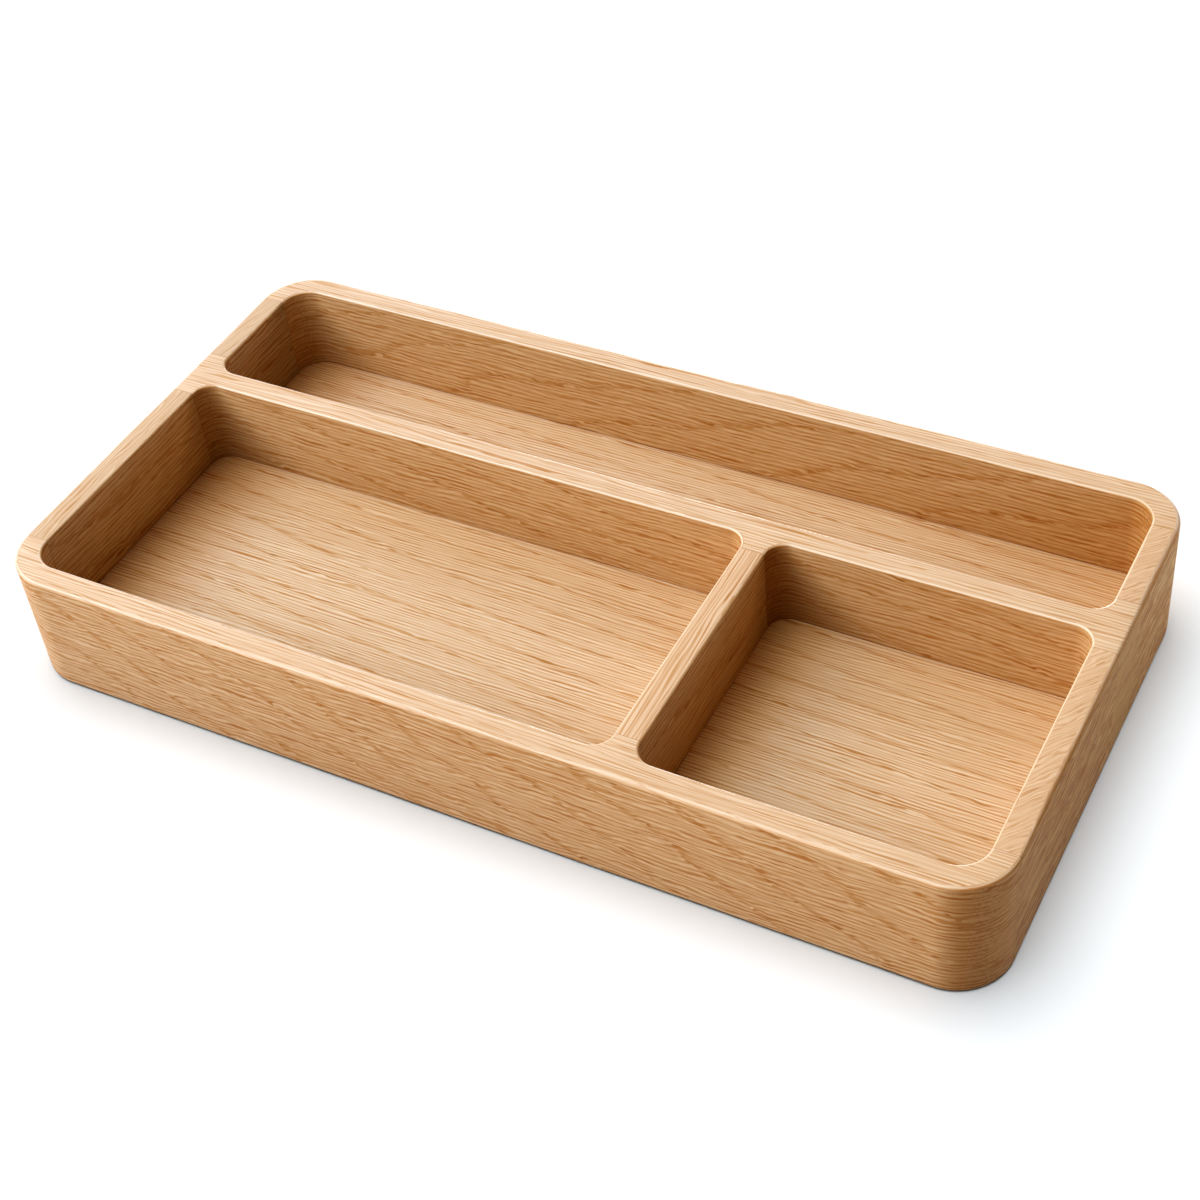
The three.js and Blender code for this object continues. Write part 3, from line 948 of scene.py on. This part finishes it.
def beech_material():
    """Bare beech: pink-brown wood with short flecks along the dowel, darker in soft layers."""
    material, nodes, shader = new_material("beech_dowel")
    along_y = {"Vector": nodes.in_mm(), "Rotation": (0, 0, -math.pi / 2)}
    rod = nodes.add("ShaderNodeMapping", along_y).outputs[0]
    growth = nodes.group(OAK_GROWTH, {"Vector": rod, **BEECH_GROWTH})
    colour = nodes.mix(growth["Ripple"], BEECH_PALE, BEECH_ROSE)
    colour = nodes.mix(nodes.times(growth["Pores"], BEECH_FLECK_SHARE), colour, BEECH_FLECK)
    nodes.fill(shader, {
        "Base Color": colour, "Roughness": nodes.span(growth["Ripple"], 0, 1, *BEECH_ROUGHNESS),
        "Normal": nodes.bump(growth["Ripple"], BEECH_BUMP, BEECH_RELIEF),
    })
    return material


FELT_DARK = (0.10, 0.08, 0.06, 1)
FELT_LIGHT = (0.24, 0.20, 0.16, 1)
MATS_PER_MM, HAIRS_PER_MM = 1.4, 6
FELT_TONES = (0.3, 0.7)
FELT_ROUGHNESS = (0.85, 1.0)
FELT_BUMP = 0.6
FELT_RELIEF = 0.25 * MM
FELT_SHEEN = 0.4


def felt_material():
    """Pressed wool felt: matted fibres as two sizes of tangled noise, in colour and height."""
    material, nodes, shader = new_material("felt_brown")
    place = nodes.in_mm()
    mat = nodes.noise(nodes.scaled(place, (MATS_PER_MM,) * 3), 3, roughness=0.6, distortion=1.2)
    hair = nodes.noise(nodes.scaled(place, (HAIRS_PER_MM,) * 3), 3, roughness=0.7, distortion=2.5)
    tone = nodes.math("ADD", nodes.times(mat, 0.5), nodes.times(hair, 0.5))
    colour = nodes.mix(nodes.span(tone, *FELT_TONES), FELT_DARK, FELT_LIGHT)
    nodes.fill(shader, {
        "Base Color": colour, "Roughness": nodes.span(hair, *FELT_TONES, *FELT_ROUGHNESS),
        "Normal": nodes.bump(tone, FELT_BUMP, FELT_RELIEF), "Sheen Weight": FELT_SHEEN,
    })
    return material


# Painted shade beside a wall: how far it reaches, less than 0 to the left or the front, and its tint.
LEFT_END = (41 * MM, (0.59, 0.48, 0.30, 1))
CROSS_END = (41 * MM, (0.47, 0.34, 0.15, 1))
PEN_END = (41 * MM, (0.79, 0.71, 0.55, 1))
RIGHT_END = (-135 * MM, (0.86, 0.76, 0.59, 1))
WALL_END = (-24 * MM, (0.68, 0.64, 0.50, 1))
PEN_WALL = (-60 * MM, (0.67, 0.72, 0.76, 1))
LEFT_FOOT = (40 * MM, (0.86, 0.60, 0.31, 1))
CROSS_FOOT = (27 * MM, (1.17, 0.96, 0.55, 1))
RIGHT_FOOT = (-80 * MM, (0.92, 0.85, 0.74, 1))
REAR_FOOT = (-45 * MM, (0.78, 0.72, 0.61, 1))
PEN_FOOT = (-22 * MM, (0.83, 0.78, 0.68, 1))

RAIL = rail_section()
DIVIDER = divider_section()
FELT = felt_material()
BEECH = beech_material()


def make_oak(node, label, board, lofted):
    """A piece of oak cut from its board."""
    make_piece(node, "oak", oak_material("oak_" + label, board), lofted)


def make_front_rail():
    """The front rail with its two corners and the divider's foot."""
    board = Board(
        growth=(0.036, 0.22, 0.06), shift=(40.3, 3.7, -18.2), top_tint=RIM_TINT,
        wave=(2.1, 3), drawn=(0.95, 0.3),
        joints=(GlueLine(FRONT_JOINT), GlueLine(CROSS_JOINT, BEFORE_CROSS, AFTER_CROSS)),
    )
    make_oak("front_rail", "front", board, loft(front_rail_stations(), RAIL, board))


def make_rear_rail():
    """The rear rail with its two corners, shaded at both ends of the pen pocket."""
    face = (REAR_JOINT, REAR_FACE + PANEL_GAP)
    board = Board(
        growth=(-0.02, 0.2, 0.07), shift=(-210.4, 57.1, 31.3), top_tint=RIM_TINT,
        joints=(GlueLine(REAR_JOINT),),
        shades=(Shade(X_AXIS, RIGHT_FACE, *face, *RIGHT_END),
                Shade(X_AXIS, LEFT_FACE, *face, *PEN_END)),
    )
    make_oak("rear_rail", "rear", board, loft(rear_rail_stations(), RAIL, board))


def make_centre_rail():
    """The centre rail with its ends through the side walls, shaded to the right of two walls."""
    left_wall = (LEFT, LEFT_FACE + FILLET)
    cross_wall = (BEFORE_CROSS, AFTER_CROSS)
    right_wall = (RIGHT_FACE - FILLET, RIGHT)
    face = (CENTRE_FRONT_JOINT, CENTRE_FRONT_FACE + PANEL_GAP)
    board = Board(
        growth=(0.02, 0.18, 0.08), shift=(330.6, 23.9, 8.4), top_tint=RIM_TINT,
        joints=(*(GlueLine(CENTRE_FRONT_JOINT, *wall) for wall in (left_wall, cross_wall, right_wall)),
                *(GlueLine(CENTRE_REAR_JOINT, *wall) for wall in (left_wall, right_wall))),
        shades=(Shade(X_AXIS, LEFT_FACE, *face, *LEFT_END),
                Shade(X_AXIS, CROSS_RIGHT, *face, *CROSS_END)),
    )
    stations = centre_rail_stations()
    lofted = loft(stations, DIVIDER, board, centre_rail_ends(stations.near[:, 0]))
    make_oak("centre_rail", "centre", board, lofted)


def make_cross_divider():
    """The cross divider, its right face shaded towards the centre rail."""
    face = (CROSS_RIGHT - PANEL_GAP, CROSS_RIGHT + PANEL_GAP)
    board = Board(
        growth=(0.01, 0.3, 0.05), shift=(15.2, 90.3, 60.8), top_tint=SIDE_TOP_TINT,
        along=Y_AXIS, wave=(0.9, 3),
        joints=(GlueLine(CROSS_JOINT), GlueLine(CENTRE_FRONT_JOINT)),
        shades=(Shade(Y_AXIS, CENTRE_FRONT_JOINT, *face, *WALL_END),),
    )
    stations = straight_run((CROSS_LEFT, CROSS_JOINT), (CROSS_LEFT, CENTRE_FRONT_JOINT),
                            (CROSS_RIGHT - CROSS_LEFT, 0))
    make_oak("cross_divider", "cross", board, loft(stations, DIVIDER, board))


# Side walls: outer face and signed width, and what the boards of one side share.
LEFT_WALL, RIGHT_WALL = (LEFT, RIM_WIDTH), (RIGHT, -RIM_WIDTH)
LEFT_OAK = {"drawn": (0.9, 0.4), "layers": (0, 0.83, 0.62), "lively": (1.4, 0.6),
            "top_tint": LEFT_TOP_TINT}
RIGHT_OAK = {"drawn": (0.9, 0.9), "layers": (0, 0.83, 0.36), "lively": (2.6, 0.6),
             "top_tint": SIDE_TOP_TINT}
SIDE_WAVE = 1.2
DEGREES_PER_WAVE = 20


def make_side_rail(node, wall, oak, span, shift, lean, shades=()):
    """A side rail between two joints; the more its strokes lean, the more they sway."""
    board = Board(
        growth=(0.012, 0.28, 0.06), shift=shift, along=Y_AXIS, lean=lean, shades=shades,
        wave=(SIDE_WAVE + lean / DEGREES_PER_WAVE, 5),
        joints=tuple(GlueLine(y) for y in span), **oak,
    )
    outer_x, width = wall
    start, end = ((outer_x, y) for y in span)
    make_oak(node, node, board, loft(straight_run(start, end, (width, 0)), RAIL, board))


def make_side_rails():
    """Two side rails on each side; the left ones are shaded towards their rear ends."""
    face = (LEFT, LEFT_FACE + PANEL_GAP)
    wall_end = Shade(Y_AXIS, CENTRE_FRONT_JOINT, *face, *WALL_END)
    pen_wall = Shade(Y_AXIS, REAR_JOINT, *face, *PEN_WALL)
    left, right = (LEFT_WALL, LEFT_OAK), (RIGHT_WALL, RIGHT_OAK)
    make_side_rail("left_front_side_rail", *left, FRONT_SPAN, (90.2, 11.7, -40.3), 0, (wall_end,))
    make_side_rail("left_rear_side_rail", *left, REAR_SPAN, (190.7, -33.2, 25.6), 8, (pen_wall,))
    make_side_rail("right_front_side_rail", *right, FRONT_SPAN, (-70.4, 48.1, 14.7), 38)
    make_side_rail("right_rear_side_rail", *right, REAR_SPAN, (-160.9, 71.3, 77.2), 48)


def make_base_panel():
    """The panel's rounded outline carried up from its chamfered under edge to the floor of the
    pockets, shaded by the walls to its left, to its right and behind."""
    radius = CORNER_RADIUS - REBATE_SKIN - PANEL_GAP
    left, right = panel_low.x + radius, panel_high.x - radius
    front, back = panel_low.y + radius, panel_high.y - radius
    corners = ((right, back), (left, back), (left, front), (right, front))
    turns = [arc(corner, 90 * turn, 90 * turn + 90, CORNER_STEPS) for turn, corner in enumerate(corners)]
    outline = np.concatenate([at(radius) for _, at in turns])
    inward = -np.concatenate([direction for direction, _ in turns])
    inset = np.array([PANEL_CHAMFER, 0, 0])
    height = np.array([panel_low.z, panel_low.z + PANEL_CHAMFER, panel_high.z])
    front_pockets, pen_pocket = (FRONT, CENTRE_FRONT_FACE), (CENTRE_REAR_FACE, BACK)
    board = Board(
        growth=(0.02, 0.11, 0.05), shift=(-55.3, 120.6, 12.4), top_tint=PANEL_TINT,
        wave=(1.3, 1.3), drawn=(0.5, 0.5), layers=(0, 0.92, 0.67), lively=(1.25, 1.25),
        shades=(Shade(X_AXIS, LEFT_FACE, FRONT, BACK, *LEFT_FOOT),
                Shade(X_AXIS, CROSS_RIGHT, *front_pockets, *CROSS_FOOT),
                Shade(X_AXIS, RIGHT_FACE, *pen_pocket, *RIGHT_FOOT),
                Shade(Y_AXIS, CENTRE_FRONT_FACE, LEFT, RIGHT, *REAR_FOOT),
                Shade(Y_AXIS, REAR_FACE, LEFT, RIGHT, *PEN_FOOT)),
    )
    points = stacked(outline, inward, inset, height)
    along, across, up = np.moveaxis(points, -1, 0)
    places = in_log(along * board.drawn[1], across, up, board)
    lofted = unmarked(points, places)._replace(pocket=np.ones(points.shape[:2]))
    make_oak("base_panel", "base", board, lofted)


def make_felt_pad(node):
    """A disc of felt: a circle carried up, its lower edge worn round, its upper edge square."""
    low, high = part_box(node)
    middle = np.array([(low.x + high.x) / 2, (low.y + high.y) / 2])
    direction, at = arc(middle, 0, 360 - 360 / PAD_STEPS, PAD_STEPS - 1)
    angle = quarter_turn()[::-1]
    inset = np.concatenate([PAD_EDGE * (1 - np.cos(angle)), [0]])
    height = np.concatenate([low.z + PAD_EDGE * (1 - np.sin(angle)), [high.z]])
    points = stacked(at((high.x - low.x) / 2), -direction, inset, height)
    make_piece(node, "felt", FELT, unmarked(points, points))


make_front_rail()
make_rear_rail()
make_centre_rail()
make_cross_divider()
make_side_rails()
make_base_panel()
for node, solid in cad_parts.items():
    if node.startswith("felt_pad"):
        make_felt_pad(node)
    if node.startswith("dowel"):
        for material_slot in solid.material_slots:
            material_slot.material = BEECH

# Studio: floor, sky, light and camera.
WHITE = (1, 1, 1, 1)
FLOOR_HALF = 4.0
FLOOR_WHITE = (0.925, 0.937, 0.95, 1)
FLOOR_GREY = (0.45, 0.45, 0.45, 1)
SKY_LEVEL = 0.04
WARM_BOUNCE = (1.0, 0.70, 0.40, 1)


def seen_rays(nodes):
    """1 for rays whose hit is looked at: straight from the camera, in a gloss or through glass."""
    ray = nodes.add("ShaderNodeLightPath").outputs
    gloss = nodes.math("MAXIMUM", ray["Is Glossy Ray"], ray["Is Transmission Ray"])
    return nodes.math("MAXIMUM", ray["Is Camera Ray"], gloss)


def studio_floor():
    """A matt square at desk height, white where it is looked at and grey in what it reflects."""
    material, nodes, shader = new_material("studio_white")
    colour = nodes.mix(seen_rays(nodes), FLOOR_GREY, FLOOR_WHITE)
    nodes.fill(shader, {"Base Color": colour, "Roughness": 1.0, "Specular IOR Level": 0.0})
    turns = ((-1, -1), (1, -1), (1, 1), (-1, 1))
    corners = [(x * FLOOR_HALF, y * FLOOR_HALF, 0) for x, y in turns]
    mesh = bpy.data.meshes.new("studio_floor")
    mesh.from_pydata(corners, [], [(0, 1, 2, 3)])
    mesh.materials.append(material)
    floor = bpy.data.objects.new("studio_floor", mesh)
    bpy.context.scene.collection.objects.link(floor)
    return floor


def studio_sky():
    """A dim warm sky that looks white."""
    world = bpy.data.worlds.new("studio_sky")
    bpy.context.scene.world = world
    world.use_nodes = True
    nodes = Nodes(world.node_tree)
    sky = world.node_tree.nodes["Background"]
    seen = seen_rays(nodes)
    nodes.fill(sky, {"Color": nodes.mix(seen, WARM_BOUNCE, WHITE),
                     "Strength": nodes.span(seen, 0, 1, SKY_LEVEL, 1.0, smooth=False)})


def from_angles(azimuth, elevation):
    """Unit vector towards a viewer at that azimuth, from the front to the right, and elevation."""
    a, e = math.radians(azimuth), math.radians(elevation)
    return Vector((math.sin(a) * math.cos(e), -math.cos(a) * math.cos(e), math.sin(e)))


def hang_lamp(lamp, azimuth, elevation, distance, floor_link):
    """Hangs a lamp so that it looks at the tray from a direction. INCLUDE makes it light nothing but
    the floor, EXCLUDE everything but the floor."""
    holder = bpy.data.objects.new(lamp.name, lamp)
    towards = from_angles(azimuth, elevation)
    aim = towards.to_track_quat("Z", "Y").to_matrix().to_4x4()
    holder.matrix_world = Matrix.Translation(towards * distance) @ aim
    bpy.context.scene.collection.objects.link(holder)
    lit = bpy.data.collections.new(lamp.name + "_lit")
    lit.objects.link(floor)
    lit.collection_objects[0].light_linking.link_state = floor_link
    holder.light_linking.receiver_collection = lit


def soft_box(name, azimuth, elevation, distance, size, power, colour=(1, 1, 1)):
    """A square soft box for the tray."""
    lamp = bpy.data.lights.new(name, "AREA")
    lamp.color = colour
    lamp.shape = "SQUARE"
    lamp.size = size
    lamp.energy = power
    hang_lamp(lamp, azimuth, elevation, distance, "EXCLUDE")


def overhead_lamp(name, azimuth, elevation, spread, level, colour=(1, 1, 1)):
    """An even light for the floor from a wide round patch of sky, which gives a level white surface
    that brightness."""
    lamp = bpy.data.lights.new(name, "SUN")
    lamp.color = colour
    lamp.angle = math.radians(spread)
    lamp.energy = level * math.pi / math.sin(math.radians(elevation))
    hang_lamp(lamp, azimuth, elevation, 1, "INCLUDE")


floor = studio_floor()
studio_sky()
soft_box("side_fill", azimuth=133, elevation=5, distance=0.3, size=0.12, power=0.185,
         colour=(0.78, 1, 1.32))
soft_box("rear_strip", azimuth=200, elevation=2.5, distance=1.2, size=0.3, power=16)
soft_box("key_softbox", azimuth=-57, elevation=53, distance=2.3, size=2.5, power=84)
overhead_lamp("floor_light", azimuth=-95, elevation=82.5, spread=54, level=1.06)
overhead_lamp("floor_fill", azimuth=0, elevation=70, spread=40, level=0.11, colour=(0.1, 0.55, 0.8))

# The photo's camera: lengths in pixels of the photo, angles in degrees.
PHOTO_SIZE = 1200
FOCAL_LENGTH = 2159.46
SENSOR = 36.0
CAMERA_AZIMUTH, CAMERA_ELEVATION, CAMERA_ROLL = 32.35, 43.52, -6.88
CAMERA_DISTANCE = 0.61617
CAMERA_TARGET = Vector((4.09, -1.77, 17.5)) * MM
CLIP_START = 0.01

camera_data = bpy.data.cameras.new("photo_camera")
camera_data.sensor_width = SENSOR
camera_data.lens = FOCAL_LENGTH * SENSOR / PHOTO_SIZE
camera_data.clip_start = CLIP_START
camera = bpy.data.objects.new("photo_camera", camera_data)
bpy.context.scene.collection.objects.link(camera)
back = from_angles(CAMERA_AZIMUTH, CAMERA_ELEVATION)
right = from_angles(CAMERA_AZIMUTH + 90, 0)
upright = Matrix((right, back.cross(right), back)).transposed().to_4x4()
roll = Matrix.Rotation(math.radians(CAMERA_ROLL), 4, "Z")
camera.matrix_world = Matrix.Translation(CAMERA_TARGET + back * CAMERA_DISTANCE) @ upright @ roll
bpy.context.scene.camera = camera

bpy.context.scene.view_settings.view_transform = "Standard"
